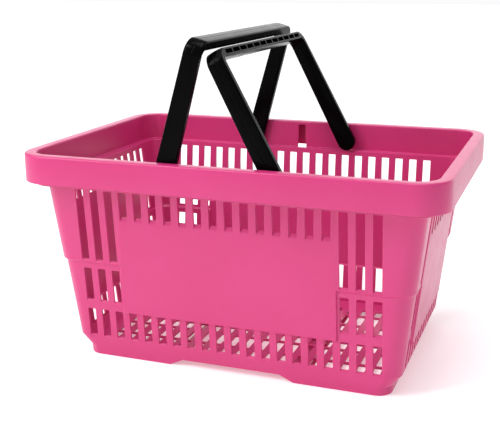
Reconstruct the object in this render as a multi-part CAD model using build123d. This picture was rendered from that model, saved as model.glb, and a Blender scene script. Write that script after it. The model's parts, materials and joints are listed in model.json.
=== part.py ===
from build123d import *
from math import asin, cos, sin
import os

# A hand-held shopping basket: one injection-moulded slotted tub with a channel rim,
# and two bail handles that fold outward over the ledge inside the rim.
# Frame: millimetres, origin at the centre of the footprint on the floor, +X along
# the length, +Y towards the back, +Z up. The tub is a single moulding; it is divided
# here into named regions that meet face to face, so that each one is a simple shape.

# ---- rim: an upside-down channel round the top ----
RIM_HALF_X = 225.0
RIM_HALF_Y = 155.0
RIM_TOP = 230.0
RIM_CORNER_R = 35.0
SKIRT_BOTTOM = 200.0
FLANGE_WIDTH = 12.5
SKIN = 2.5                      # thickness of every tub wall

# ---- tub body under the rim ----
LEDGE_TOP = 198.5
BODY_HALF_X = 203.7             # outside of the wall at the ledge
BODY_HALF_Y = 135.7
BODY_CORNER_R = 20.0
BODY_BASE_CORNER_R = 16.0
END_DRAFT = 0.117               # how far the end walls lean in, per mm of height
LONG_DRAFT = 0.098              # the same for the long walls
STEP_TOP = 112.0                # moulded step half way down, which spaces nested tubs
STEP_BOTTOM = 110.0
STEP_INSET = 2.0
CHAMFER_TOP = 22.0
END_CHAMFER = 9.8               # how far the sloping lower edge steps in
LONG_CHAMFER = 3.9
BASE_BOTTOM = 9.0               # underside of the floor between the feet
FOOT_INSET = 0.6                # the foot's own small draft

# ---- slots in the walls ----
SLOT_PITCH = 16.7
SLOT_WIDTH = 8.8
SLOT_TOP = 194.0
TALL_SLOT_BOTTOM = 114.0        # columns beside the label panel
SHORT_SLOT_BOTTOM = 164.0       # columns above the label panel
MIDDLE_ROW = (66.0, 104.0)
LOWER_ROW = (24.5, 56.0)
END_LOWER_ROW = (24.5, 47.0)    # under the deeper panel of the end walls
LONG_WALL_COLUMNS = 20
END_WALL_COLUMNS = 12
LONG_WALL_SIDE_COLUMNS = 3      # full-height columns at each side of the panel
END_WALL_SIDE_COLUMNS = 1

# ---- label panels: each stays in the plane of the upper wall, proud of the lower wall ----
PANEL_SKIN = 3.5
LONG_PANEL_HALF = 117.0
LONG_PANEL_BOTTOM = 57.0
END_PANEL_HALF = 83.5
END_PANEL_BOTTOM = 48.0

# ---- where the tub is divided into regions ----
RIM_SPLIT_X = RIM_HALF_X - RIM_CORNER_R
RIM_SPLIT_Y = RIM_HALF_Y - RIM_CORNER_R
BODY_SPLIT_X = 164.0
BODY_SPLIT_Y = 97.0

# ---- floor grid ----
FLOOR_COLUMNS = 19
FLOOR_HOLE_WIDTH = 8.5
FLOOR_LONG_HOLE = 28.0
FLOOR_SHORT_HOLE = 17.0
FLOOR_LONG_ROWS = (-52.0, 0.0, 52.0)
FLOOR_SHORT_ROWS = (-78.0, -26.0, 26.0, 78.0)

# ---- feet: a hollow runner under each end ----
FOOT_INNER_BOTTOM = 70.0        # where the runner's sloping face meets the floor
FOOT_INNER_TOP = 56.0
FOOT_SLOPE_SKIN = 4.5           # that face's thickness, measured along X

# ---- handles and their pivots ----
PIVOT_X = 60.0
PIVOT_Z = 210.3
LEFT_HALF_SPAN = 141.5          # outer face of each leg
RIGHT_HALF_SPAN = 136.0
HANDLE_REACH = 146.0            # pivot to the outside of the grip
HANDLE_END_R = 10.7             # the round end of each leg
GRIP_WIDTH = 17.6
LEG_THICKNESS = 8.5
GRIP_THICKNESS = 10.0
HANDLE_BEND_R = 15.0
HANDLE_EDGE_R = 1.2
LEFT_LEAN = 15.4                # degrees about +Y, the grips leaning together
RIGHT_LEAN = -27.8
PIN_R = 4.5
PIN_CLEARANCE = 0.05            # running fit, radial
SHOULDER_R = 7.0
HEAD_R = 5.6
HEAD_LENGTH = 2.4
GAP = 0.3                       # side clearance between moving faces
POCKETS = 12
POCKET_PITCH = 20.0
POCKET_LENGTH = 17.0
POCKET_HEIGHT = 4.2
POCKET_DEPTH = 11.0

# ---- openings beside the pivots and the spare socket ----
LEDGE_HOLE_LENGTH = 13.0
LEDGE_HOLE_WIDTH = 6.0
SOCKET_UPPER_WIDTH = 9.0
SOCKET_LOWER_WIDTH = 11.0
SOCKET_STEP = 207.0
SOCKET_TOP = 226.0

FAR = 400.0


def span_box(x, y, z):
    """A box from three (low, high) pairs."""
    size = [high - low for low, high in (x, y, z)]
    centre = [(high + low) / 2 for low, high in (x, y, z)]
    return Pos(*centre) * Box(*size)


def rounded(half_x, half_y, radius, z):
    """A rounded rectangle at height z."""
    return Pos(0, 0, z) * RectangleRounded(2 * half_x, 2 * half_y, radius)


def slab(half_x, half_y, radius, z_low, z_high):
    """An upright block with a rounded rectangle for its plan."""
    return extrude(rounded(half_x, half_y, radius, z_low), z_high - z_low)


def body_outline(z, skin, step=0.0, end_inset=0.0, long_inset=0.0):
    """The tub's plan at height z: its outer face, or its inner face with a skin."""
    drop = LEDGE_TOP - z
    half_x = BODY_HALF_X - drop * END_DRAFT - step - end_inset
    half_y = BODY_HALF_Y - drop * LONG_DRAFT - step - long_inset
    radius = BODY_CORNER_R + (BODY_BASE_CORNER_R - BODY_CORNER_R) * drop / LEDGE_TOP
    return rounded(half_x - skin, half_y - skin, radius - skin, z)


def base_outline(z, skin, extra=0.0):
    """The plan under the sloping lower edge."""
    lean = CHAMFER_TOP - z
    end_inset = END_CHAMFER + extra - lean * END_DRAFT
    long_inset = LONG_CHAMFER + extra - lean * LONG_DRAFT
    return body_outline(z, skin, STEP_INSET, end_inset, long_inset)


def body_block(skin):
    """The tub as a solid block, down to the underside of its floor."""
    outlines = [
        base_outline(BASE_BOTTOM, skin),
        body_outline(CHAMFER_TOP, skin, STEP_INSET),
        body_outline(STEP_BOTTOM, skin, STEP_INSET),
        body_outline(STEP_TOP, skin),
        body_outline(LEDGE_TOP - SKIN, skin),
    ]
    return [loft([low, high], ruled=True) for low, high in zip(outlines, outlines[1:])]


def panel_plate():
    """The tub's skin without the step, from which the lower part of each panel is cut."""
    outer, inner = [
        loft([body_outline(CHAMFER_TOP, skin), body_outline(STEP_TOP, skin)], ruled=True)
        for skin in (0.0, PANEL_SKIN)
    ]
    return outer - inner


def column_centres(count):
    return [SLOT_PITCH * (i - (count - 1) / 2) for i in range(count)]


def slot_rows(index, count, side_columns, lower_row):
    """The (bottom, top) heights of the slots in one column."""
    beside_panel = index < side_columns or index >= count - side_columns
    if beside_panel:
        return [(TALL_SLOT_BOTTOM, SLOT_TOP), MIDDLE_ROW, LOWER_ROW]
    return [(SHORT_SLOT_BOTTOM, SLOT_TOP), lower_row]


def slot_cutters(count, side_columns, lower_row, along_x):
    """Boxes that cut one pair of opposite walls."""
    cutters = []
    for index, centre in enumerate(column_centres(count)):
        across = (centre - SLOT_WIDTH / 2, centre + SLOT_WIDTH / 2)
        for row in slot_rows(index, count, side_columns, lower_row):
            x, y = (across, (-FAR, FAR)) if along_x else ((-FAR, FAR), across)
            cutters.append(span_box(x, y, row))
    return cutters


def wall_skin(stage, outer, inner):
    return outer[stage] - inner[stage]


def make_walls(outer, inner):
    """Four slotted walls, four corner posts and four sloping lower edges."""
    shell = wall_skin(1, outer, inner) + wall_skin(2, outer, inner) + wall_skin(3, outer, inner)
    edge = wall_skin(0, outer, inner)
    long_cutters = slot_cutters(LONG_WALL_COLUMNS, LONG_WALL_SIDE_COLUMNS, LOWER_ROW, True)
    end_cutters = slot_cutters(END_WALL_COLUMNS, END_WALL_SIDE_COLUMNS, END_LOWER_ROW, False)
    plate = panel_plate()
    along_x = (-BODY_SPLIT_X, BODY_SPLIT_X)
    along_y = (-BODY_SPLIT_Y, BODY_SPLIT_Y)
    height = (0.0, LEDGE_TOP)
    long_panel = ((-LONG_PANEL_HALF, LONG_PANEL_HALF), (LONG_PANEL_BOTTOM, STEP_TOP))
    end_panel = ((-END_PANEL_HALF, END_PANEL_HALF), (END_PANEL_BOTTOM, STEP_TOP))
    sides = {
        "front": (along_x, (-FAR, 0.0), long_cutters, long_panel),
        "back": (along_x, (0.0, FAR), long_cutters, long_panel),
        "left": ((-FAR, 0.0), along_y, end_cutters, end_panel),
        "right": ((0.0, FAR), along_y, end_cutters, end_panel),
    }
    parts = {}
    for side, (x, y, cutters, (across, panel_height)) in sides.items():
        region = span_box(x, y, height)
        panel_x, panel_y = (across, y) if side in ("front", "back") else (x, across)
        panel = span_box(panel_x, panel_y, panel_height)
        wall = (shell & region) - panel + (plate & panel)
        parts[side + "_wall"] = wall - cutters
        parts["lower_edge_" + side] = edge & region
    for name, x, y in corner_regions(BODY_SPLIT_X, BODY_SPLIT_Y):
        region = span_box(x, y, height)
        parts["corner_post_" + name] = (shell & region) + (edge & region)
    return parts


def corner_regions(split_x, split_y):
    """The four corners of the plan beyond the given limits."""
    regions = []
    for name, sign_x, sign_y in (
        ("front_left", -1, -1),
        ("front_right", 1, -1),
        ("back_left", -1, 1),
        ("back_right", 1, 1),
    ):
        x = sorted((sign_x * split_x, sign_x * FAR))
        y = sorted((sign_y * split_y, sign_y * FAR))
        regions.append((name, x, y))
    return regions


def make_floor(inner):
    """The floor plate inside the lower edges, with its grid of holes."""
    plate = inner[0] & span_box((-FAR, FAR), (-FAR, FAR), (BASE_BOTTOM, BASE_BOTTOM + SKIN))
    through = (0.0, CHAMFER_TOP)
    holes = []
    for i in range(FLOOR_COLUMNS):
        x = SLOT_PITCH * (i - (FLOOR_COLUMNS - 1) / 2)
        across = (x - FLOOR_HOLE_WIDTH / 2, x + FLOOR_HOLE_WIDTH / 2)
        for rows, length in ((FLOOR_LONG_ROWS, FLOOR_LONG_HOLE), (FLOOR_SHORT_ROWS, FLOOR_SHORT_HOLE)):
            for y in rows:
                holes.append(span_box(across, (y - length / 2, y + length / 2), through))
    return plate - holes


def foot_prism(sign, extra):
    """The length of one runner, seen from the side, as a block across the tub."""
    points = [
        (sign * (FOOT_INNER_BOTTOM + extra), 0.0),
        (sign * FAR, 0.0),
        (sign * FAR, BASE_BOTTOM),
        (sign * (FOOT_INNER_TOP + extra), BASE_BOTTOM),
    ]
    profile = Plane.XZ * make_face(Polyline(*points, close=True))
    return extrude(profile, FAR / 2, both=True)


def make_foot(sign):
    """A runner open underneath: a ring wall under the tub's end."""
    def block(skin):
        bottom = base_outline(0.0, skin, FOOT_INSET)
        return loft([bottom, base_outline(BASE_BOTTOM, skin)], ruled=True)

    outer = block(0.0) & foot_prism(sign, 0.0)
    return outer - (block(SKIN) & foot_prism(sign, FOOT_SLOPE_SKIN))


def pivot_centres():
    return (-PIVOT_X, PIVOT_X)


def rim_ring():
    """The whole channel: skirt, top flange and inner wall."""
    def plan(inset, z_low, z_high):
        return slab(RIM_HALF_X - inset, RIM_HALF_Y - inset, RIM_CORNER_R - inset, z_low, z_high)

    inner_wall = FLANGE_WIDTH - SKIN
    skirt = plan(0.0, SKIRT_BOTTOM, RIM_TOP) - plan(SKIN, SKIRT_BOTTOM, RIM_TOP)
    flange = plan(SKIN, RIM_TOP - SKIN, RIM_TOP) - plan(inner_wall, RIM_TOP - SKIN, RIM_TOP)
    inner = plan(inner_wall, LEDGE_TOP, RIM_TOP) - plan(FLANGE_WIDTH, LEDGE_TOP, RIM_TOP)
    return skirt + flange + inner


def rim_cutters():
    """Pivot bores and the spare handle socket in the middle of each long rim."""
    inner_face = RIM_HALF_Y - FLANGE_WIDTH
    middle = inner_face + SKIN / 2
    cutters = []
    for sign in (-1, 1):
        for x in pivot_centres():
            bore = Pos(x, sign * middle, PIVOT_Z) * Rot(90, 0, 0)
            cutters.append(bore * Cylinder(PIN_R + PIN_CLEARANCE, 2 * SKIN))
        y = sorted((sign * (inner_face - SKIN), sign * (inner_face + 1.5 * SKIN)))
        for width, low, high in (
            (SOCKET_LOWER_WIDTH, LEDGE_TOP, SOCKET_STEP),
            (SOCKET_UPPER_WIDTH, SOCKET_STEP, SOCKET_TOP),
        ):
            cutters.append(span_box((-width / 2, width / 2), y, (low, high)))
    return cutters


def ledge_ring():
    """The flat ledge that joins the rim's inner wall to the top of the tub."""
    inner_wall = FLANGE_WIDTH - SKIN
    low = LEDGE_TOP - SKIN
    outer = slab(
        RIM_HALF_X - inner_wall, RIM_HALF_Y - inner_wall, RIM_CORNER_R - inner_wall, low, LEDGE_TOP
    )
    hole = slab(BODY_HALF_X - SKIN, BODY_HALF_Y - SKIN, BODY_CORNER_R - SKIN, low, LEDGE_TOP)
    return outer - hole


def ledge_cutters():
    """Small holes in the ledge under each pivot and under the spare socket."""
    outer = RIM_HALF_Y - FLANGE_WIDTH
    cutters = []
    for sign in (-1, 1):
        y = sorted((sign * (outer - LEDGE_HOLE_WIDTH), sign * outer))
        for x in (*pivot_centres(), 0.0):
            across = (x - LEDGE_HOLE_LENGTH / 2, x + LEDGE_HOLE_LENGTH / 2)
            cutters.append(span_box(across, y, (LEDGE_TOP - 2 * SKIN, LEDGE_TOP)))
    return cutters


def make_rim():
    """Straight rims and ledges, and the corners, which hold both."""
    ring = rim_ring() - rim_cutters()
    ledge = ledge_ring() - ledge_cutters()
    height = (LEDGE_TOP - SKIN, RIM_TOP)
    parts = {}
    for name, piece, split_x, split_y in (
        ("rim_", ring, RIM_SPLIT_X, RIM_SPLIT_Y),
        ("ledge_", ledge, BODY_SPLIT_X, BODY_SPLIT_Y),
    ):
        along_x = (-split_x, split_x)
        along_y = (-split_y, split_y)
        parts[name + "front"] = piece & span_box(along_x, (-FAR, 0.0), height)
        parts[name + "back"] = piece & span_box(along_x, (0.0, FAR), height)
        parts[name + "left"] = piece & span_box((-FAR, 0.0), along_y, height)
        parts[name + "right"] = piece & span_box((0.0, FAR), along_y, height)
    rim_corners = corner_regions(RIM_SPLIT_X, RIM_SPLIT_Y)
    ledge_corners = corner_regions(BODY_SPLIT_X, BODY_SPLIT_Y)
    for (name, rim_x, rim_y), (_, ledge_x, ledge_y) in zip(rim_corners, ledge_corners):
        corner = ring & span_box(rim_x, rim_y, height)
        parts["rim_corner_" + name] = corner + (ledge & span_box(ledge_x, ledge_y, height))
    return parts


def bail_front(half_span):
    """The handle seen along X: two legs, two bends and the grip."""
    tall = 2 * HANDLE_REACH
    outer = RectangleRounded(2 * half_span, tall, HANDLE_BEND_R)
    hole = RectangleRounded(
        2 * (half_span - LEG_THICKNESS), tall - 2 * GRIP_THICKNESS, HANDLE_BEND_R - LEG_THICKNESS
    )
    height = HANDLE_REACH + HANDLE_END_R
    above_ends = Pos(0, HANDLE_REACH - height / 2) * Rectangle(2 * half_span, height)
    return (outer - hole) & above_ends


def bail_side():
    """The handle seen along Y: a strip that narrows from its round ends to the grip."""
    top = GRIP_WIDTH / 2
    taper = asin((HANDLE_END_R - top) / HANDLE_REACH)
    tangent_x = HANDLE_END_R * cos(taper)
    tangent_z = HANDLE_END_R * sin(taper)
    flank = Polyline(
        (-tangent_x, tangent_z), (-top, HANDLE_REACH), (top, HANDLE_REACH), (tangent_x, tangent_z),
        close=True,
    )
    return make_face(flank) + Circle(HANDLE_END_R)


def bail(half_span):
    """The bent strip of a handle, upright, with its pivot axis on Y."""
    front = extrude(Plane.YZ * bail_front(half_span), HANDLE_END_R, both=True)
    side = extrude(Plane.XZ * bail_side(), half_span, both=True)
    return fillet((front & side).edges(), HANDLE_EDGE_R)


def pivot_pin(sign, half_span):
    """One stub pin: shoulder against the rim, shank in its bore, snap head behind it."""
    wall_face = RIM_HALF_Y - FLANGE_WIDTH
    root = half_span - HANDLE_EDGE_R
    head_start = wall_face + SKIN + GAP
    pieces = []
    for radius, start, end in (
        (SHOULDER_R, root, wall_face - GAP),
        (PIN_R, root, head_start),
        (HEAD_R, head_start, head_start + HEAD_LENGTH),
    ):
        place = Pos(0, sign * (start + end) / 2, 0) * Rot(90, 0, 0)
        pieces.append(place * Cylinder(radius, end - start))
    return pieces


def make_handle(pivot_x, half_span, lean, pocket_side):
    """A one-piece bail with moulded pins and a row of pockets along its grip."""
    handle = bail(half_span)
    for sign in (-1, 1):
        for piece in pivot_pin(sign, half_span):
            handle += piece
    z = HANDLE_REACH - GRIP_THICKNESS / 2
    depth = sorted((pocket_side * (GRIP_WIDTH / 2 - POCKET_DEPTH), pocket_side * GRIP_WIDTH))
    for i in range(POCKETS):
        y = POCKET_PITCH * (i - (POCKETS - 1) / 2)
        along = (y - POCKET_LENGTH / 2, y + POCKET_LENGTH / 2)
        handle -= span_box(depth, along, (z - POCKET_HEIGHT / 2, z + POCKET_HEIGHT / 2))
    return Pos(pivot_x, 0, PIVOT_Z) * Rot(0, lean, 0) * handle


def build_parts():
    outer = body_block(0.0)
    inner = body_block(SKIN)
    parts = make_walls(outer, inner)
    parts["floor_grid"] = make_floor(inner)
    parts["foot_left"] = make_foot(-1)
    parts["foot_right"] = make_foot(1)
    parts.update(make_rim())
    parts["left_handle"] = make_handle(-PIVOT_X, LEFT_HALF_SPAN, LEFT_LEAN, -1)
    parts["right_handle"] = make_handle(PIVOT_X, RIGHT_HALF_SPAN, RIGHT_LEAN, 1)
    return parts


os.makedirs("parts", exist_ok=True)
for name, shape in build_parts().items():
    export_step(shape, os.path.join("parts", name + ".step"))
    print(name, len(shape.solids()), round(shape.volume / 1000, 2), "cm3")
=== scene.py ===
import json
import math

import bmesh
import bpy
from mathutils import Matrix, Vector


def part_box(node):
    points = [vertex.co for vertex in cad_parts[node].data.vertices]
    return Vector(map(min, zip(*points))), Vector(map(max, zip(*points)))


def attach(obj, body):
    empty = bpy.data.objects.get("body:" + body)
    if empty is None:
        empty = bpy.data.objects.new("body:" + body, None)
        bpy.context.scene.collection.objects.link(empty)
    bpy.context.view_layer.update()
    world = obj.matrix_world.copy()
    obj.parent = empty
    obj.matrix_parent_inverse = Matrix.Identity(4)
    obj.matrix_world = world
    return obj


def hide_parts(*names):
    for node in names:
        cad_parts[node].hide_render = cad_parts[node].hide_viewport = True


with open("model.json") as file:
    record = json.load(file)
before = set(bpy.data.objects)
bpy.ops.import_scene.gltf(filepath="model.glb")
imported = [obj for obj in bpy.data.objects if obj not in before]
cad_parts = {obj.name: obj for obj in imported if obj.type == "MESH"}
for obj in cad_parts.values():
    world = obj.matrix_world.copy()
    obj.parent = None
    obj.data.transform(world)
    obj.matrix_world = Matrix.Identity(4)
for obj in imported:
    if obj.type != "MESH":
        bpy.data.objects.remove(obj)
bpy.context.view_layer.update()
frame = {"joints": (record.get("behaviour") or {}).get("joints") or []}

MM = 0.001


# ---------------------------------------------------------------- sizes from the frame

def highest_corner(*nodes):
    """The highest corner of the box round several CAD nodes."""
    boxes = [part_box(node) for node in nodes]
    return Vector([max(box[1][i] for box in boxes) for i in range(3)])


CORNERS = ("front_left", "front_right", "back_left", "back_right")
SIDES = ("front", "back", "left", "right")
rim_high = highest_corner("rim_front", "rim_back", "rim_left", "rim_right")
wall_high = highest_corner("front_wall", "back_wall", "left_wall", "right_wall")
ledge_low, ledge_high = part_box("ledge_front")
floor_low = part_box("floor_grid")[0]
foot_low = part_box("foot_right")[0]

SKIN = ledge_high.z - ledge_low.z
RIM_X, RIM_Y = rim_high.x, rim_high.y
RIM_TOP = rim_high.z
LEDGE_TOP = ledge_high.z
BASE = floor_low.z

# ---------------------------------------------------------------- the tub's own sizes

END_DRAFT, LONG_DRAFT = 0.117, 0.098
BODY_X = wall_high.x + SKIN * END_DRAFT
BODY_Y = wall_high.y + SKIN * LONG_DRAFT
RIM_CORNER = 35 * MM
BODY_CORNER = 20 * MM
BODY_BASE_CORNER = 16 * MM
SKIRT_BOTTOM = 200 * MM
FLANGE = 12.5 * MM
RIM_OUTER_ROUND = 2.0 * MM
RIM_INNER_ROUND = 1.5 * MM
HIDDEN_ROUND = 0.4 * MM         # inside the channel, under the rounded rim edges
ROUND_STEPS = 4
TUB_EDGE_ROUND = 0.55 * MM
STEP_BOTTOM, STEP_TOP = 110 * MM, 112 * MM
STEP_INSET = 2 * MM
CHAMFER_TOP = 22 * MM
END_CHAMFER, LONG_CHAMFER = 9.8 * MM, 3.9 * MM
CENTRE_BOTTOM = 7 * MM
FOOT_INSET = 0.6 * MM
FOOT_INNER_BOTTOM = foot_low.x + 18 * MM
FOOT_INNER_TOP = foot_low.x + 1.5 * MM

SLOT_PITCH = 16.7 * MM
SLOT_HALF = 4.4 * MM
LONG_COLUMNS, LONG_SIDE_COLUMNS = 20, 3
END_COLUMNS, END_SIDE_COLUMNS = 12, 1
LONG_PANEL = 117.5 * MM
END_PANEL = 83.5 * MM
PANEL_PROUD = 0.35 * MM
PANEL_EDGE = 1.2 * MM

# heights of the slot edges; a pair is outside and inside, where the edge slopes
LOW_SILL = (23.3 * MM, 25.2 * MM)
END_LOW_TOP = 47.0 * MM
LONG_LOW_TOP = 56.0 * MM
MIDDLE_SILL = (65.2 * MM, 67.3 * MM)
MIDDLE_TOP = 104.0 * MM
TALL_SILL = (113.2 * MM, 115.4 * MM)
SHORT_SILL = (161.2 * MM, 166.5 * MM)
SLOT_TOP = (194.8 * MM, 192.4 * MM)

# sockets and small openings along the long rims
pivots = {j["child"]: Vector(j["pos_m"]) for j in frame["joints"]}
PIVOT_X = pivots["right_handle"].x
PIVOT_Z = pivots["right_handle"].z
BORE_HALF = 4.55 * MM
SOCKET_HALF_UPPER = 4.5 * MM
SOCKET_HALF_LOWER = 5.5 * MM
SOCKET_STEP = 207 * MM
SOCKET_SHOULDER = 208 * MM
SOCKET_TOP = 226 * MM
LEDGE_HOLE_HALF = 6.5 * MM
LEDGE_HOLE_WIDTH = 5.5 * MM

ARC_STEPS = 10
CORNER_ROOM = 0.5 * MM          # the least straight length from the last station to a corner
TOLERANCE = 0.1 * MM


# ---------------------------------------------------------------- mesh helpers

BEVEL_SEGMENTS = 2


def make_object(name, bm, material):
    """A new object from a bmesh, with outward normals and smooth faces."""
    bmesh.ops.recalc_face_normals(bm, faces=bm.faces)
    mesh = bpy.data.meshes.new(name)
    bm.to_mesh(mesh)
    bm.free()
    for polygon in mesh.polygons:
        polygon.use_smooth = True
    mesh.materials.append(material)
    obj = bpy.data.objects.new(name, mesh)
    bpy.context.scene.collection.objects.link(obj)
    return obj


def soften(obj, width, degrees=30):
    """Rounds the sharp edges and keeps the flat faces flat."""
    bevel = obj.modifiers.new("edge rounding", "BEVEL")
    bevel.width = width
    bevel.segments = BEVEL_SEGMENTS
    bevel.limit_method = "ANGLE"
    bevel.angle_limit = math.radians(degrees)
    bevel.use_clamp_overlap = False
    bevel.harden_normals = True
    bevel.miter_outer = "MITER_ARC"


# ---------------------------------------------------------------- plan of the tub

class Plan:
    """A rounded rectangle, by half lengths and corner radius."""

    def __init__(self, half_x, half_y, corner):
        self.half_x = half_x
        self.half_y = half_y
        self.corner = corner


def fade(z, low, high):
    """0 above high, 1 below low, and in proportion between them."""
    return min(max((high - z) / (high - low), 0.0), 1.0)


def step_inset(z):
    """How far the wall is set in at a height: fully below the step, not at all above."""
    return STEP_INSET * fade(z, STEP_BOTTOM, STEP_TOP)


def body_plan(z, skin=0.0):
    """The tub's plan at a height: its outside, or its inside with a skin."""
    drop = LEDGE_TOP - max(z, CHAMFER_TOP)
    chamfer = fade(z, BASE, CHAMFER_TOP)
    shared = step_inset(z) + FOOT_INSET * fade(z, 0.0, BASE) + skin
    corner = BODY_CORNER + (BODY_BASE_CORNER - BODY_CORNER) * (LEDGE_TOP - z) / LEDGE_TOP
    return Plan(
        BODY_X - drop * END_DRAFT - chamfer * END_CHAMFER - shared,
        BODY_Y - drop * LONG_DRAFT - chamfer * LONG_CHAMFER - shared,
        corner - skin,
    )


def rim_plan(inset):
    """The rim's plan, moved in from its outer face."""
    return Plan(RIM_X - inset, RIM_Y - inset, RIM_CORNER - inset)


# A station is a place round the plan: ("front", x), ("right", y) and so on along the
# straight sides, and (corner name, fraction of the quarter turn) round the corners.

def column_edges(columns):
    """Both edges of every slot column."""
    edges = []
    for i in range(columns):
        centre = SLOT_PITCH * (i - (columns - 1) / 2)
        edges += [centre - SLOT_HALF, centre + SLOT_HALF]
    return edges


def mirrored(*values):
    """Each value with both signs."""
    return [sign * value for value in values for sign in (-1, 1)]


def side_places(side):
    """Every station along one straight side, in rising order."""
    if side in ("front", "back"):
        places = column_edges(LONG_COLUMNS) + mirrored(LONG_PANEL, LONG_PANEL + PANEL_EDGE)
    else:
        places = column_edges(END_COLUMNS) + mirrored(END_PANEL, END_PANEL + PANEL_EDGE)
    return sorted(places)


def all_stations():
    """Anticlockwise round the plan, from the left end of the front."""
    stations = []
    for side, corner, reverse in (
        ("front", "front_right", False),
        ("right", "back_right", False),
        ("back", "back_left", True),
        ("left", "front_left", True),
    ):
        places = side_places(side)
        stations += [(side, place) for place in (reversed(places) if reverse else places)]
        stations += [(corner, step / ARC_STEPS) for step in range(ARC_STEPS + 1)]
    return stations


STATIONS = all_stations()
FURTHEST = {side: max(side_places(side)) for side in SIDES}
CORNER_START = {"front_right": -90, "back_right": 0, "back_left": 90, "front_left": 180}
CORNER_SIGN = {
    "front_right": (1, -1), "back_right": (1, 1), "back_left": (-1, 1), "front_left": (-1, -1)
}


# Above and below the slots, some slot edges move aside to bound other things: the spare
# socket in the middle, the pivots, and the slopes between the feet.
CENTRE_EDGE = SLOT_PITCH / 2 - SLOT_HALF
PIVOT_EDGES = (3.5 * SLOT_PITCH - SLOT_HALF, 3.5 * SLOT_PITCH + SLOT_HALF)
FOOT_EDGES = (PIVOT_EDGES[0], 4.5 * SLOT_PITCH - SLOT_HALF)


def edge_moves(level_name):
    """The slot edges that move at a level, with the places they move to."""
    bore = (PIVOT_X - BORE_HALF, PIVOT_X + BORE_HALF)
    hole = (PIVOT_X - LEDGE_HOLE_HALF, PIVOT_X + LEDGE_HOLE_HALF)
    feet = tuple(zip(FOOT_EDGES, (FOOT_INNER_TOP, FOOT_INNER_BOTTOM)))
    return {
        "ground": feet,
        "base": feet,
        "ledge_hole": [(CENTRE_EDGE, LEDGE_HOLE_HALF), *zip(PIVOT_EDGES, hole)],
        "ledge_end": [(CENTRE_EDGE, SOCKET_HALF_LOWER), *zip(PIVOT_EDGES, hole)],
        "bore_bottom": [(CENTRE_EDGE, SOCKET_HALF_LOWER), *zip(PIVOT_EDGES, bore)],
        "socket_step": [(CENTRE_EDGE, SOCKET_HALF_LOWER), *zip(PIVOT_EDGES, bore)],
        "socket_shoulder": [(CENTRE_EDGE, SOCKET_HALF_UPPER), *zip(PIVOT_EDGES, bore)],
        "bore_top": [(CENTRE_EDGE, SOCKET_HALF_UPPER), *zip(PIVOT_EDGES, bore)],
        "socket_top": [(CENTRE_EDGE, SOCKET_HALF_UPPER)],
    }.get(level_name, ())


def station_at(level_name, station):
    """A station, moved aside if this level calls for it."""
    where, value = station
    if where in ("front", "back"):
        for edge, place in edge_moves(level_name):
            if abs(abs(value) - edge) < TOLERANCE:
                return where, math.copysign(place, value)
    return station


def station_point(plan, station, proud=0.0):
    """The (x, y) of a station on a plan, moved out by proud on the straight sides."""
    where, value = station
    if where in CORNER_START:
        sign_x, sign_y = CORNER_SIGN[where]
        angle = math.radians(CORNER_START[where] + 90 * value)
        return (
            sign_x * (plan.half_x - plan.corner) + plan.corner * math.cos(angle),
            sign_y * (plan.half_y - plan.corner) + plan.corner * math.sin(angle),
        )
    half_along = plan.half_x if where in ("front", "back") else plan.half_y
    room = half_along - plan.corner - CORNER_ROOM
    along = value * min(1.0, room / FURTHEST[where])
    out_x, out_y = plan.half_x + proud, plan.half_y + proud
    return {
        "front": (along, -out_y), "back": (along, out_y),
        "left": (-out_x, along), "right": (out_x, along),
    }[where]


# ---------------------------------------------------------------- section of the tub

class Level:
    """One line round the tub's skin: its outward side and its inward side."""

    def __init__(self, name, out_plan, out_z, in_plan, in_z):
        self.name = name
        self.out_plan = out_plan
        self.out_z = out_z
        self.in_plan = in_plan
        self.in_z = in_z


def wall_level(name, out_z, in_z=None):
    """A level of the wall, at one height or at different heights outside and inside."""
    in_z = out_z if in_z is None else in_z
    return Level(name, body_plan(out_z), out_z, body_plan(in_z, SKIN), in_z)


def wall_levels():
    """Up the wall, from the ground to the ledge."""
    return [
        wall_level("ground", 0.0),
        wall_level("base", BASE),
        wall_level("chamfer", CHAMFER_TOP),
        wall_level("low_sill", *LOW_SILL),
        wall_level("end_low_top", END_LOW_TOP),
        wall_level("end_panel", END_LOW_TOP + PANEL_EDGE),
        wall_level("long_low_top", LONG_LOW_TOP),
        wall_level("long_panel", LONG_LOW_TOP + PANEL_EDGE),
        wall_level("middle_sill", *MIDDLE_SILL),
        wall_level("middle_top", MIDDLE_TOP),
        wall_level("step_bottom", STEP_BOTTOM),
        wall_level("step_top", STEP_TOP),
        wall_level("tall_sill", *TALL_SILL),
        wall_level("short_sill", *SHORT_SILL),
        wall_level("slot_top", *SLOT_TOP),
        wall_level("wall_top", LEDGE_TOP - SKIN, LEDGE_TOP),
    ]


def ledge_levels():
    """The ledge, from the wall's top to the foot of the rim's inner wall."""
    hole = Plan(RIM_X - FLANGE - LEDGE_HOLE_WIDTH, RIM_Y - FLANGE - LEDGE_HOLE_WIDTH, BODY_CORNER)
    inner, outer = rim_plan(FLANGE), rim_plan(FLANGE - SKIN)
    under = LEDGE_TOP - SKIN
    return [
        Level("ledge_hole", hole, under, hole, LEDGE_TOP),
        Level("ledge_end", outer, under, inner, LEDGE_TOP),
    ]


def rounding(name, inset, radius, start):
    """Levels round a top edge of the rim: the visible side has the full radius."""
    levels = []
    z = RIM_TOP - radius
    for step in reversed(range(ROUND_STEPS + 1)):
        angle = math.radians(start + 90 * step / ROUND_STEPS)
        across, up = math.cos(angle), math.sin(angle)
        levels.append(Level(
            f"{name}_{step}",
            rim_plan(inset - HIDDEN_ROUND * across), z + HIDDEN_ROUND * up,
            rim_plan(inset - radius * across), z + radius * up,
        ))
    return levels


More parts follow.
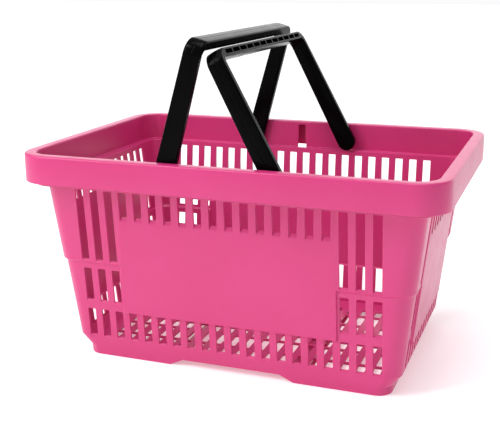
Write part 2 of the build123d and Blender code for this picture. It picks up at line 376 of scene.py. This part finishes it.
def rim_levels():
    """Up the rim's inner wall, over the flange and down the skirt."""
    inner, outer = rim_plan(FLANGE), rim_plan(FLANGE - SKIN)
    levels = []
    for name, z in (
        ("bore_bottom", PIVOT_Z - BORE_HALF),
        ("socket_step", SOCKET_STEP),
        ("socket_shoulder", SOCKET_SHOULDER),
        ("bore_top", PIVOT_Z + BORE_HALF),
        ("socket_top", SOCKET_TOP),
    ):
        levels.append(Level(name, outer, z, inner, z))
    levels += rounding("inner", FLANGE - RIM_INNER_ROUND, RIM_INNER_ROUND, 90)
    levels += rounding("outer", RIM_OUTER_ROUND, RIM_OUTER_ROUND, 0)
    levels.append(Level("skirt_end", rim_plan(SKIN), SKIRT_BOTTOM, rim_plan(0.0), SKIRT_BOTTOM))
    return levels


LEVELS = wall_levels() + ledge_levels() + rim_levels()
ROW = {level.name: i for i, level in enumerate(LEVELS)}


def in_panel(station):
    """Whether a station is within the width of a label panel."""
    where, value = station
    if where in ("front", "back"):
        return abs(value) < LONG_PANEL + TOLERANCE
    if where in ("left", "right"):
        return abs(value) < END_PANEL + TOLERANCE
    return False


def panel_offset(level, row, station):
    """The panel keeps the upper wall's plane, so it stands proud below the step."""
    if not in_panel(station):
        return 0.0, 0.0
    first = ROW["long_panel"] if station[0] in ("front", "back") else ROW["end_panel"]
    if row < first or row > ROW["wall_top"]:
        return 0.0, 0.0
    face = 0.0 if row == ROW["wall_top"] else PANEL_PROUD
    return step_inset(level.out_z) + face, step_inset(level.in_z)


def ground_height(station):
    """The tub's lower edge: on the floor at the feet, raised between them."""
    where, value = station
    if where not in ("front", "back"):
        return 0.0
    return CENTRE_BOTTOM * fade(abs(value), FOOT_INNER_TOP, FOOT_INNER_BOTTOM)


def slot_spans(where, middle):
    """The rows of cells that are open in the column at this place along a side."""
    long_side = where in ("front", "back")
    columns, side_columns = (
        (LONG_COLUMNS, LONG_SIDE_COLUMNS) if long_side else (END_COLUMNS, END_SIDE_COLUMNS)
    )
    index = round(middle / SLOT_PITCH + (columns - 1) / 2)
    centre = SLOT_PITCH * (index - (columns - 1) / 2)
    if not 0 <= index < columns or abs(middle - centre) > SLOT_HALF:
        return []
    low_top = "long_low_top" if long_side else "end_low_top"
    if index < side_columns or index >= columns - side_columns:
        return [("low_sill", "long_low_top"), ("middle_sill", "middle_top"), ("tall_sill", "slot_top")]
    return [("low_sill", low_top), ("short_sill", "slot_top")]


def rim_spans(where, middle):
    """The openings in the long rims and ledges: pivot bores, their ledge holes, the socket."""
    if where not in ("front", "back"):
        return []
    if abs(middle) < CENTRE_EDGE:
        return [("ledge_hole", "socket_top")]
    if PIVOT_EDGES[0] < abs(middle) < PIVOT_EDGES[1]:
        return [("ledge_hole", "ledge_end"), ("bore_bottom", "bore_top")]
    return []


def open_cells():
    """Every (row, station) cell of the skin that is a hole."""
    cells = set()
    for i, station in enumerate(STATIONS):
        after = STATIONS[(i + 1) % len(STATIONS)]
        if station[0] != after[0] or station[0] not in SIDES:
            continue
        middle = (station[1] + after[1]) / 2
        for first, last in slot_spans(station[0], middle) + rim_spans(station[0], middle):
            cells.update((row, i) for row in range(ROW[first], ROW[last]))
    return cells


def skin_vertices(bm):
    """The skin's outward and inward vertices, by level and then by station."""
    outward, inward = [], []
    for row, level in enumerate(LEVELS):
        out_line, in_line = [], []
        for usual_station in STATIONS:
            station = station_at(level.name, usual_station)
            proud_out, proud_in = panel_offset(level, row, station)
            lift = ground_height(station) if row == 0 else 0.0
            out_x, out_y = station_point(level.out_plan, station, proud_out)
            in_x, in_y = station_point(level.in_plan, station, proud_in)
            out_line.append(bm.verts.new((out_x, out_y, level.out_z + lift)))
            in_line.append(bm.verts.new((in_x, in_y, level.in_z + lift)))
        outward.append(out_line)
        inward.append(in_line)
    return outward, inward


def make_tub(material):
    """The walls, ledge and rim as one closed skin with its slots open."""
    bm = bmesh.new()
    outward, inward = skin_vertices(bm)
    count = len(STATIONS)
    holes = open_cells()
    last = len(LEVELS) - 1

    def is_open(row, i):
        return row < 0 or row >= last or (row, i % count) in holes

    def rung(row, i, next_row, next_i):
        """A face through the thickness, along one edge of a cell."""
        a, b = (row, i % count), (next_row, next_i % count)
        bm.faces.new((outward[a[0]][a[1]], outward[b[0]][b[1]], inward[b[0]][b[1]], inward[a[0]][a[1]]))

    for row in range(last):
        for i in range(count):
            if is_open(row, i):
                continue
            for side in (outward, inward):
                bm.faces.new((
                    side[row][i], side[row][(i + 1) % count],
                    side[row + 1][(i + 1) % count], side[row + 1][i],
                ))
            if is_open(row - 1, i):
                rung(row, i, row, i + 1)
            if is_open(row + 1, i):
                rung(row + 1, i, row + 1, i + 1)
            if is_open(row, i - 1):
                rung(row, i, row + 1, i)
            if is_open(row, i + 1):
                rung(row, i + 1, row + 1, i + 1)
    loose = [vert for vert in bm.verts if not vert.link_faces]
    bmesh.ops.delete(bm, geom=loose, context="VERTS")
    tub = make_object("basket_tub", bm, material)
    soften(tub, TUB_EDGE_ROUND)
    return tub


# ---------------------------------------------------------------- floor and feet

FLOOR_COLUMNS = 19
FLOOR_HOLE_HALF = 4.25 * MM
FLOOR_ROWS = (
    (-78 * MM, 8.5 * MM), (-52 * MM, 14 * MM), (-26 * MM, 8.5 * MM), (0.0, 14 * MM),
    (26 * MM, 8.5 * MM), (52 * MM, 14 * MM), (78 * MM, 8.5 * MM),
)
FLOOR_LAP = 0.8 * MM            # how far the floor's edge is let into the wall's skin
FLOOR_EDGE_ROUND = 0.4 * MM
FOOT_BAR_THICKNESS = 4.5 * MM
FOOT_BAR_ROWS = 6
FOOT_BAR_EDGE_ROUND = 0.5 * MM


def floor_cells(bm, xs, ys):
    """The grid between the outermost hole edges, with every cell filled but the holes."""
    grid = [[bm.verts.new((x, y, BASE)) for y in ys] for x in xs]
    for i in range(len(xs) - 1):
        for j in range(len(ys) - 1):
            if i % 2 == 1 or j % 2 == 1:
                bm.faces.new((grid[i][j], grid[i + 1][j], grid[i + 1][j + 1], grid[i][j + 1]))
    return grid


def floor_borders(bm, grid, xs, ys, edge):
    """The strips from the grid out to the walls; gives the vertices at each wall."""
    borders = {}
    for side, j, wall_y in (("front", 0, -edge.half_y), ("back", -1, edge.half_y)):
        line = [bm.verts.new((x, wall_y, BASE)) for x in xs]
        borders[side] = line
        for i in range(len(xs) - 1):
            bm.faces.new((grid[i][j], grid[i + 1][j], line[i + 1], line[i]))
    for side, i, wall_x in (("left", 0, -edge.half_x), ("right", -1, edge.half_x)):
        line = [bm.verts.new((wall_x, y, BASE)) for y in ys]
        borders[side] = line
        for j in range(len(ys) - 1):
            bm.faces.new((grid[i][j], grid[i][j + 1], line[j + 1], line[j]))
    return borders


def floor_corner(bm, grid, borders, name, edge):
    """The face from the grid's corner out to the tub's rounded corner."""
    sign_x, sign_y = CORNER_SIGN[name]
    i = 0 if sign_x < 0 else -1
    j = 0 if sign_y < 0 else -1
    across = borders["front" if sign_y < 0 else "back"][i]
    along = borders["left" if sign_x < 0 else "right"][j]
    arc = [
        bm.verts.new((*station_point(edge, (name, step / ARC_STEPS)), BASE))
        for step in range(ARC_STEPS + 1)
    ]
    start, end = (across, along) if name in ("front_right", "back_left") else (along, across)
    bm.faces.new((grid[i][j], start, *arc, end))


def make_floor(material):
    """The floor grid: a plate with a rounded outline and rows of rectangular holes."""
    columns = [SLOT_PITCH * (i - (FLOOR_COLUMNS - 1) / 2) for i in range(FLOOR_COLUMNS)]
    xs = [x + side for x in columns for side in (-FLOOR_HOLE_HALF, FLOOR_HOLE_HALF)]
    ys = [y + side * half for y, half in FLOOR_ROWS for side in (-1, 1)]
    edge = body_plan(BASE + SKIN / 2, SKIN - FLOOR_LAP)
    bm = bmesh.new()
    grid = floor_cells(bm, xs, ys)
    borders = floor_borders(bm, grid, xs, ys, edge)
    for name in CORNER_SIGN:
        floor_corner(bm, grid, borders, name, edge)
    top = bmesh.ops.extrude_face_region(bm, geom=bm.faces[:])
    raised = [item for item in top["geom"] if isinstance(item, bmesh.types.BMVert)]
    bmesh.ops.translate(bm, vec=(0, 0, SKIN), verts=raised)
    floor = make_object("basket_floor", bm, material)
    soften(floor, FLOOR_EDGE_ROUND)
    return floor


def make_foot_bar(name, sign, material):
    """The sloping inner face of a foot runner, from the floor down to the ground."""
    half = body_plan(0.0, SKIN - FLOOR_LAP).half_y
    top_z = BASE + FLOOR_LAP
    slope = (FOOT_INNER_BOTTOM - FOOT_INNER_TOP) / BASE
    profile = []
    for step in range(FOOT_BAR_ROWS + 1):
        z = top_z * step / FOOT_BAR_ROWS
        profile.append((FOOT_INNER_BOTTOM - slope * min(z, BASE), z))
    outline = profile + [(x + FOOT_BAR_THICKNESS, z) for x, z in reversed(profile)]
    bm = bmesh.new()
    ends = []
    for y in (-half, half):
        ends.append([bm.verts.new((sign * x, y, z)) for x, z in outline])
    bm.faces.new(ends[0])
    bm.faces.new(ends[1])
    for i in range(len(outline)):
        after = (i + 1) % len(outline)
        bm.faces.new((ends[0][i], ends[0][after], ends[1][after], ends[1][i]))
    bar = make_object(name, bm, material)
    soften(bar, FOOT_BAR_EDGE_ROUND)
    return bar


# ---------------------------------------------------------------- handles

HANDLE_REACH = 146 * MM
HANDLE_END_R = 10.7 * MM
GRIP_HALF_WIDTH = 8.8 * MM
LEG_THICKNESS = 8.5 * MM
GRIP_THICKNESS = 10.0 * MM
HANDLE_BEND = 15 * MM
HANDLE_EDGE = 1.5 * MM
HANDLE_CROWN = 0.35 * MM
PARTING_HALF = 0.45 * MM
PARTING_DEPTH = 0.28 * MM
HANDLE_EDGE_ROUND = 0.45 * MM
HANDLE_EDGE_DEGREES = 40        # edges that turn by more than this are rounded
BEND_STEPS = 14
END_STEPS = 9
END_ARC = 86                    # degrees of each round end that the rings cover, out of 90
LEG_RINGS = (0.2, 0.5, 0.8)     # heights of the rings up each straight leg, as parts of it
EDGE_STEPS = 4
OUTER_FACE_POINTS = 7           # across the strip's outer face, between its corners
RIGHT_EDGE_FACE = 0             # places in the section where the two edges' faces start
LEFT_EDGE_FACE = 2 + 2 * (EDGE_STEPS + 1) + OUTER_FACE_POINTS
POCKETS = 12
POCKET_PITCH = 20 * MM
POCKET_HALF = 8.5 * MM
POCKET_RISE = 2.1 * MM
POCKET_DEPTH = 11 * MM
POCKET_TAPER = 0.9              # a pocket's bottom, as a part of its mouth
SHOULDER_R, PIN_R, HEAD_R = 7 * MM, 4.5 * MM, 5.6 * MM
HEAD_TIP_R = PIN_R - 0.8 * MM
SHOULDER_CHAMFER = 0.5 * MM
PIN_ROOT = 0.6 * MM             # how far the pin is let into the leg
HEAD_LAND = 0.8 * MM
HEAD_LENGTH = 2.3 * MM
SIDE_GAP = 0.3 * MM
PIN_SEGMENTS = 40


def strip_section(half_width, thickness):
    """The strip's section as (across, outward) points, anticlockwise, from its outer face."""
    edge = min(HANDLE_EDGE, half_width * 0.6)
    scale = half_width / GRIP_HALF_WIDTH
    crown = HANDLE_CROWN * scale
    groove = PARTING_HALF * scale
    middle = -thickness / 2
    points = [(half_width, middle - POCKET_RISE), (half_width, middle + POCKET_RISE)]

    def corner(side, outward, start):
        centre_x = side * (half_width - edge)
        centre_y = -edge - crown if outward else -thickness + edge + crown
        for step in range(EDGE_STEPS + 1):
            angle = math.radians(start + 90 * step / EDGE_STEPS)
            points.append((centre_x + edge * math.cos(angle), centre_y + edge * math.sin(angle)))

    corner(1, True, 0)
    points.append((half_width * 0.5, -crown * 0.25))
    points += [(2 * groove, 0.0), (groove, 0.0), (0.0, -PARTING_DEPTH)]
    points += [(-groove, 0.0), (-2 * groove, 0.0)]
    points.append((-half_width * 0.5, -crown * 0.25))
    corner(-1, True, 90)
    points += [(-half_width, middle + POCKET_RISE), (-half_width, middle - POCKET_RISE)]
    corner(-1, False, 180)
    for x in (-0.5, 0.0, 0.5):
        points.append((x * half_width, -thickness + crown * x * x))
    corner(1, False, 270)
    return points


def half_width_at(z):
    """The strip narrows from its round end to the grip."""
    if z < 0:
        return math.sqrt(HANDLE_END_R ** 2 - z ** 2)
    return HANDLE_END_R + (GRIP_HALF_WIDTH - HANDLE_END_R) * z / HANDLE_REACH


def strip_path(half_span):
    """Rings down the strip: (y, z, outward angle in degrees, half width, thickness)."""
    z_bend = HANDLE_REACH - HANDLE_BEND
    y_bend = half_span - HANDLE_BEND
    heights = []
    for step in range(END_STEPS + 1):
        angle = math.radians(END_ARC * (1 - step / END_STEPS))
        heights.append(-HANDLE_END_R * math.sin(angle))
    heights += [z_bend * part for part in LEG_RINGS]
    path = [(half_span, z, 0.0, half_width_at(z), LEG_THICKNESS) for z in heights]
    for step in range(BEND_STEPS + 1):
        turn = 90 * step / BEND_STEPS
        angle = math.radians(turn)
        z = z_bend + HANDLE_BEND * math.sin(angle)
        thickness = LEG_THICKNESS + (GRIP_THICKNESS - LEG_THICKNESS) * step / BEND_STEPS
        path.append((y_bend + HANDLE_BEND * math.cos(angle), z, turn, half_width_at(z), thickness))
    mirror = [(-y, z, 180 - turn, width, thickness) for y, z, turn, width, thickness in reversed(path)]
    for i in reversed(range(POCKETS)):
        y = POCKET_PITCH * (i - (POCKETS - 1) / 2)
        for edge in (y + POCKET_HALF, y - POCKET_HALF):
            path.append((edge, HANDLE_REACH, 90.0, GRIP_HALF_WIDTH, GRIP_THICKNESS))
    return path + mirror


def make_handle(name, pivot, half_span, lean, pocket_side, material):
    """A bent strip with round ends, a pocketed grip edge and a stub pin at each end."""
    bm = bmesh.new()
    rings = []
    for y, z, turn, half_width, thickness in strip_path(half_span):
        angle = math.radians(turn)
        out = Vector((0, math.cos(angle), math.sin(angle)))
        place = Vector((0, y, z))
        section = strip_section(half_width, thickness)
        rings.append([bm.verts.new(place + Vector((x, 0, 0)) + out * v) for x, v in section])
    size = len(rings[0])
    pocket_face = RIGHT_EDGE_FACE if pocket_side > 0 else LEFT_EDGE_FACE
    first_pocket = END_STEPS + 1 + len(LEG_RINGS) + BEND_STEPS + 1
    mouths = {first_pocket + 2 * i for i in range(POCKETS)}
    for i in range(len(rings) - 1):
        for k in range(size):
            a, b = rings[i][k], rings[i][(k + 1) % size]
            c, d = rings[i + 1][(k + 1) % size], rings[i + 1][k]
            if i in mouths and k == pocket_face:
                sink_pocket(bm, (a, b, c, d), Vector((-pocket_side * POCKET_DEPTH, 0, 0)))
            else:
                bm.faces.new((a, b, c, d))
    bm.faces.new(rings[0])
    bm.faces.new(rings[-1])
    for sign in (-1, 1):
        add_pin(bm, sign, half_span)
    place = Matrix.Translation(pivot) @ Matrix.Rotation(math.radians(lean), 4, "Y")
    bmesh.ops.transform(bm, matrix=place, verts=bm.verts)
    handle = make_object(name, bm, material)
    soften(handle, HANDLE_EDGE_ROUND, HANDLE_EDGE_DEGREES)
    return handle


def sink_pocket(bm, mouth, depth):
    """Four walls and a bottom, a little smaller than the mouth."""
    centre = sum((vert.co for vert in mouth), Vector()) / 4
    bottom = [bm.verts.new(centre + (vert.co - centre) * POCKET_TAPER + depth) for vert in mouth]
    for i in range(4):
        after = (i + 1) % 4
        bm.faces.new((mouth[i], mouth[after], bottom[after], bottom[i]))
    bm.faces.new(bottom)


def add_pin(bm, sign, half_span):
    """The moulded stub pin: shoulder, shank and a tapered snap head."""
    inner_face = RIM_Y - FLANGE
    shoulder = inner_face - SIDE_GAP
    head = inner_face + SKIN + SIDE_GAP
    turned = (
        (half_span - PIN_ROOT, SHOULDER_R),
        (shoulder - SHOULDER_CHAMFER, SHOULDER_R),
        (shoulder, SHOULDER_R - SHOULDER_CHAMFER),
        (shoulder, PIN_R),
        (head, PIN_R),
        (head, HEAD_R),
        (head + HEAD_LAND, HEAD_R),
        (head + HEAD_LENGTH, HEAD_TIP_R),
    )
    rings = []
    for y, radius in turned:
        ring = []
        for k in range(PIN_SEGMENTS):
            angle = 2 * math.pi * k / PIN_SEGMENTS
            ring.append(bm.verts.new((radius * math.cos(angle), sign * y, radius * math.sin(angle))))
        rings.append(ring)
    for low, high in zip(rings, rings[1:]):
        for k in range(PIN_SEGMENTS):
            after = (k + 1) % PIN_SEGMENTS
            bm.faces.new((low[k], low[after], high[after], high[k]))
    bm.faces.new(rings[0])
    bm.faces.new(rings[-1])


# ---------------------------------------------------------------- materials

NOISE_ROUGHNESS = 0.55


def new_material(name):
    """A new material, with its nodes, links and main shader."""
    material = bpy.data.materials.new(name)
    material.use_nodes = True
    nodes = material.node_tree.nodes
    return material, nodes, material.node_tree.links, nodes["Principled BSDF"]


def noise(nodes, links, coordinates, scale, detail):
    """A noise texture's value."""
    texture = nodes.new("ShaderNodeTexNoise")
    texture.inputs["Scale"].default_value = scale
    texture.inputs["Detail"].default_value = detail
    texture.inputs["Roughness"].default_value = NOISE_ROUGHNESS
    links.new(coordinates, texture.inputs["Vector"])
    return texture.outputs["Fac"]


def ramp(nodes, links, factor, stops):
    """A colour ramp from (position, colour) stops."""
    node = nodes.new("ShaderNodeValToRGB")
    elements = node.color_ramp.elements
    while len(elements) < len(stops):
        elements.new(0.5)
    for element, (position, colour) in zip(elements, stops):
        element.position = position
        element.color = (*colour, 1.0)
    links.new(factor, node.inputs["Fac"])
    return node.outputs["Color"]


def remap(nodes, links, value, low, high, to_low, to_high):
    """A value taken from one range to another."""
    node = nodes.new("ShaderNodeMapRange")
    ends = {"From Min": low, "From Max": high, "To Min": to_low, "To Max": to_high}
    for socket, number in ends.items():
        node.inputs[socket].default_value = number
    links.new(value, node.inputs["Value"])
    return node.outputs["Result"]


def bump(nodes, links, height, strength, distance, after=None):
    """A normal raised by a height, on top of another bump's normal if one is given."""
    node = nodes.new("ShaderNodeBump")
    node.inputs["Strength"].default_value = strength
    node.inputs["Distance"].default_value = distance
    links.new(height, node.inputs["Height"])
    if after is not None:
        links.new(after, node.inputs["Normal"])
    return node.outputs["Normal"]


def mix(nodes, links, factor, first, second):
    """A linked colour mixed with a plain one."""
    node = nodes.new("ShaderNodeMix")
    node.data_type = "RGBA"
    links.new(factor, node.inputs[0])
    links.new(first, node.inputs[6])
    node.inputs[7].default_value = (*second, 1.0)
    return node.outputs[2]


def pink_plastic():
    """Glossy polypropylene: colour drift, smeared gloss, grain, flow marks, rubbed edges."""
    material, nodes, links, shader = new_material("pink moulded plastic")
    place = nodes.new("ShaderNodeTexCoord").outputs["Object"]
    drift = noise(nodes, links, place, 9.0, 2.0)
    colour = ramp(nodes, links, drift, ((0.3, (0.550, 0.028, 0.160)), (0.7, (0.580, 0.033, 0.180))))
    edges = nodes.new("ShaderNodeNewGeometry").outputs["Pointiness"]
    rubbed = remap(nodes, links, edges, 0.53, 0.62, 0.0, 0.35)
    colour = mix(nodes, links, rubbed, colour, (0.80, 0.14, 0.33))
    links.new(colour, shader.inputs["Base Color"])
    smears = noise(nodes, links, place, 55.0, 4.0)
    links.new(remap(nodes, links, smears, 0.3, 0.7, 0.29, 0.35), shader.inputs["Roughness"])
    grain = noise(nodes, links, place, 1900.0, 2.0)
    flow = noise(nodes, links, place, 38.0, 2.0)
    relief = bump(nodes, links, grain, 0.06, 0.0001)
    links.new(bump(nodes, links, flow, 0.04, 0.0012, relief), shader.inputs["Normal"])
    shader.inputs["Specular IOR Level"].default_value = 0.5
    shader.inputs["IOR"].default_value = 1.49
    shader.inputs["Subsurface Weight"].default_value = 0.08
    shader.inputs["Subsurface Radius"].default_value = (0.006, 0.0012, 0.002)
    shader.inputs["Subsurface Scale"].default_value = 1.0
    return material


def black_plastic():
    """Glossy black nylon: faint colour drift, smeared gloss, grain and rubbed edges."""
    material, nodes, links, shader = new_material("black moulded plastic")
    place = nodes.new("ShaderNodeTexCoord").outputs["Object"]
    drift = noise(nodes, links, place, 30.0, 3.0)
    colour = ramp(nodes, links, drift, ((0.3, (0.0008, 0.0008, 0.001)), (0.7, (0.0018, 0.0018, 0.002))))
    edges = nodes.new("ShaderNodeNewGeometry").outputs["Pointiness"]
    rubbed = remap(nodes, links, edges, 0.53, 0.64, 0.0, 0.25)
    links.new(mix(nodes, links, rubbed, colour, (0.02, 0.02, 0.022)), shader.inputs["Base Color"])
    smears = noise(nodes, links, place, 70.0, 4.0)
    links.new(remap(nodes, links, smears, 0.3, 0.7, 0.16, 0.24), shader.inputs["Roughness"])
    grain = noise(nodes, links, place, 1500.0, 2.0)
    relief = bump(nodes, links, grain, 0.12, 0.0001)
    links.new(relief, shader.inputs["Normal"])
    shader.inputs["Specular IOR Level"].default_value = 0.045
    shader.inputs["IOR"].default_value = 1.45
    return material


def pale_floor():
    """A matt white acrylic floor, faintly lit from below."""
    material, nodes, links, shader = new_material("studio floor")
    place = nodes.new("ShaderNodeTexCoord").outputs["Object"]
    mottle = noise(nodes, links, place, 4.0, 2.0)
    colour = ramp(nodes, links, mottle, ((0.3, (0.96, 0.96, 0.96)), (0.7, (0.97, 0.97, 0.97))))
    links.new(colour, shader.inputs["Base Color"])
    shader.inputs["Roughness"].default_value = 0.9
    links.new(colour, shader.inputs["Emission Color"])
    shader.inputs["Emission Strength"].default_value = 0.35
    return material


# ---------------------------------------------------------------- studio

FLOOR_SIZE = 60.0
FLOOR_DROP = 0.0002             # keeps the studio floor just clear of the feet


def make_floor_plane():
    """The pale floor that the basket stands on."""
    bm = bmesh.new()
    bmesh.ops.create_grid(bm, x_segments=4, y_segments=4, size=FLOOR_SIZE)
    plane = make_object("studio_floor", bm, pale_floor())
    plane.location.z = -FLOOR_DROP


def area_light(name, place, target, size, power):
    """A rectangular light of a size in metres and a power in watts, facing its target."""
    data = bpy.data.lights.new(name, "AREA")
    data.shape = "RECTANGLE"
    data.size, data.size_y = size
    data.energy = power
    light = bpy.data.objects.new(name, data)
    light.location = place
    light.rotation_euler = (Vector(target) - Vector(place)).to_track_quat("-Z", "Y").to_euler()
    bpy.context.scene.collection.objects.link(light)


def make_lights():
    """Soft light: a white world, four area lights and a wide, weak sun."""
    world = bpy.data.worlds.new("studio")
    world.use_nodes = True
    background = world.node_tree.nodes["Background"]
    background.inputs["Color"].default_value = (1.0, 1.0, 1.0, 1.0)
    background.inputs["Strength"].default_value = 0.5
    bpy.context.scene.world = world
    centre = (0, 0, 0.15)
    area_light("key", (-0.9, -0.95, 0.85), centre, (0.5, 0.5), 6)
    area_light("overhead", (0.2, -0.1, 1.8), centre, (1.0, 0.8), 12)
    area_light("backdrop", (0.0, 10.0, 2.5), (0.0, 0.0, 2.5), (18.0, 5.0), 330)
    area_light("glint", (-0.53, -0.9, 1.47), centre, (0.25, 0.3), 5)
    sun = bpy.data.lights.new("sun", "SUN")
    sun.energy = 0.7
    sun.angle = math.radians(50)
    light = bpy.data.objects.new("sun", sun)
    light.rotation_euler = Vector((0.65, 0.35, -0.70)).to_track_quat("-Z", "Y").to_euler()
    bpy.context.scene.collection.objects.link(light)


def make_camera():
    """A 66 mm view from the front right, a little above the rim."""
    data = bpy.data.cameras.new("camera")
    data.sensor_width = 36.0
    data.lens = 66.1
    data.shift_y = -0.0497
    data.clip_start = 0.05
    camera = bpy.data.objects.new("camera", data)
    camera.location = (0.3321, -0.9477, 0.4161)
    camera.rotation_euler = (1.33543, 0.00518, 0.35229)
    bpy.context.scene.collection.objects.link(camera)
    bpy.context.scene.camera = camera


# ---------------------------------------------------------------- the scene

# each handle's half span over its legs, lean in degrees, and the side its pockets face
HANDLES = {"left_handle": (141.5 * MM, 15.4, -1), "right_handle": (136.0 * MM, -27.8, 1)}

bpy.context.scene.view_settings.view_transform = "Standard"
make_camera()
make_lights()
make_floor_plane()

pink = pink_plastic()
black = black_plastic()

tub = make_tub(pink)
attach(tub, "tub")
replaced = [side + "_wall" for side in SIDES]
replaced += [prefix + side for prefix in ("lower_edge_", "rim_", "ledge_") for side in SIDES]
replaced += [prefix + corner for prefix in ("corner_post_", "rim_corner_") for corner in CORNERS]
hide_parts(*replaced)

floor = make_floor(pink)
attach(floor, "tub")
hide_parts("floor_grid")

for side, sign in (("left", -1), ("right", 1)):
    bar = make_foot_bar(f"foot_bar_{side}", sign, pink)
    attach(bar, "tub")
    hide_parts(f"foot_{side}")

for body, (half_span, lean, pocket_side) in HANDLES.items():
    handle = make_handle(f"{body}_bail", pivots[body], half_span, lean, pocket_side, black)
    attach(handle, body)
    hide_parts(body)
